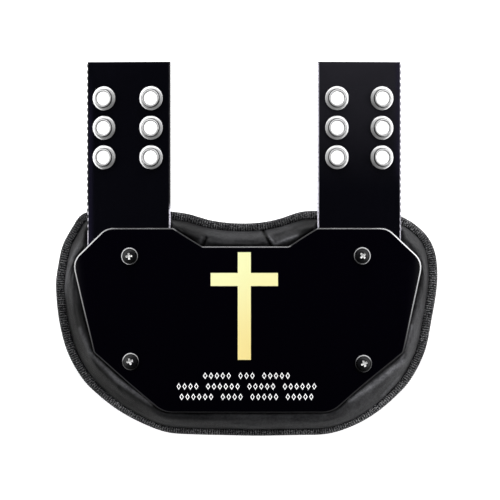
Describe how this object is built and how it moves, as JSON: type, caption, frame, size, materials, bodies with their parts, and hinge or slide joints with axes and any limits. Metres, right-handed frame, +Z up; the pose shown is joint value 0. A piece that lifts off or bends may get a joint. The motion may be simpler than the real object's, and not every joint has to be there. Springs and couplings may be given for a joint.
{
  "type": "football back plate",
  "caption": "Curved hard back plate with a plain cross, screwed over grommeted straps to a fabric-covered foam pad with a bound edge, worn on the lower back below shoulder pads.",
  "frame": {"origin": "middle of the bounding box at floor level, with the part lying on its pad, plate uppermost", "axes": "+Z up and out of the plate's face, +Y towards the strap ends, which is up when worn, +X to the wearer's right"},
  "size_m": [0.2986, 0.2901, 0.0501],
  "materials": {
    "plate": "polished, with a bright bevel",
    "strap": "smooth gloss over webbing",
    "grommet": "polished plating",
    "screw": "black with a bright rim and recess",
    "pad_fabric": "smooth satin weave over foam",
    "binding": "ribbed knit tape",
    "cross_print": "smooth pale yellow print"
  },
  "bodies": {
    "root": {"back_plate": "plate", "cross_decal": "cross_print", "strap_left": "strap", "strap_right": "strap", "pad": "pad_fabric", "pad_binding": "binding", "grommet_left_top_inner": "grommet", "grommet_left_top_outer": "grommet", "grommet_left_middle_inner": "grommet", "grommet_left_middle_outer": "grommet", "grommet_left_bottom_inner": "grommet", "grommet_left_bottom_outer": "grommet", "grommet_right_top_inner": "grommet", "grommet_right_top_outer": "grommet", "grommet_right_middle_inner": "grommet", "grommet_right_middle_outer": "grommet", "grommet_right_bottom_inner": "grommet", "grommet_right_bottom_outer": "grommet", "screw_left_upper": "screw", "screw_left_lower": "screw", "screw_right_upper": "screw", "screw_right_lower": "screw"}
  },
  "joints": []
}
